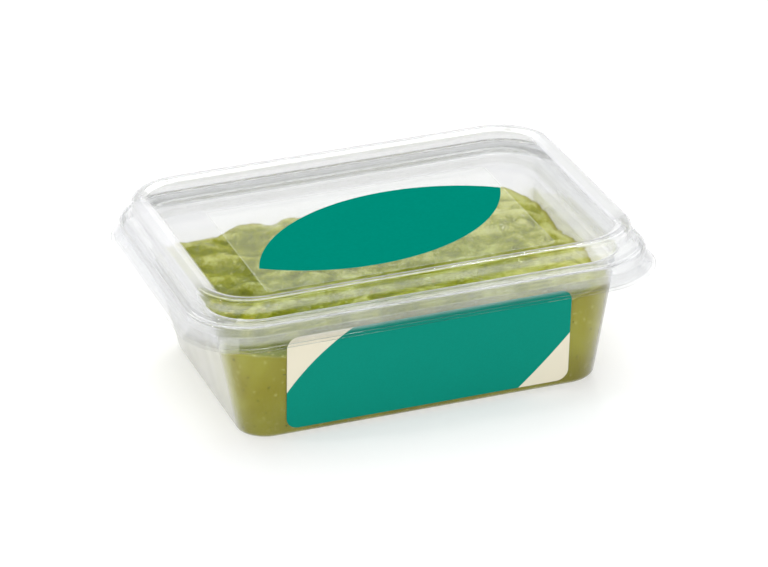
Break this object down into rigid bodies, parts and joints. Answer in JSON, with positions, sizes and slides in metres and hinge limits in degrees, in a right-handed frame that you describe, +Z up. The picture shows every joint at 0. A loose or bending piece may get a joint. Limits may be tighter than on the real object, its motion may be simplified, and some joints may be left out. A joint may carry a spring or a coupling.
{
  "type": "guacamole in a clear deli tub",
  "caption": "Guacamole in a clear rectangular deli tub shut by a clear pressed-on lid, with a film label on the lid and a paper label on the front.",
  "frame": {"origin": "middle of the tub's flat base, on the surface it stands on", "axes": "+X along the long side, +Y from the labelled front to the back, +Z up"},
  "size_m": [0.2, 0.154, 0.068],
  "materials": {
    "clear_plastic": "clear glossy thermoformed plastic",
    "guacamole": "moist creamy avocado mash with small glossy spots",
    "film_print": "smooth print on clear film",
    "paper_print": "satin coated label paper"
  },
  "bodies": {
    "root": {"tub": "clear_plastic", "guacamole": "guacamole", "lid": "clear_plastic", "lid_label": "film_print", "front_label": "paper_print"}
  },
  "joints": []
}
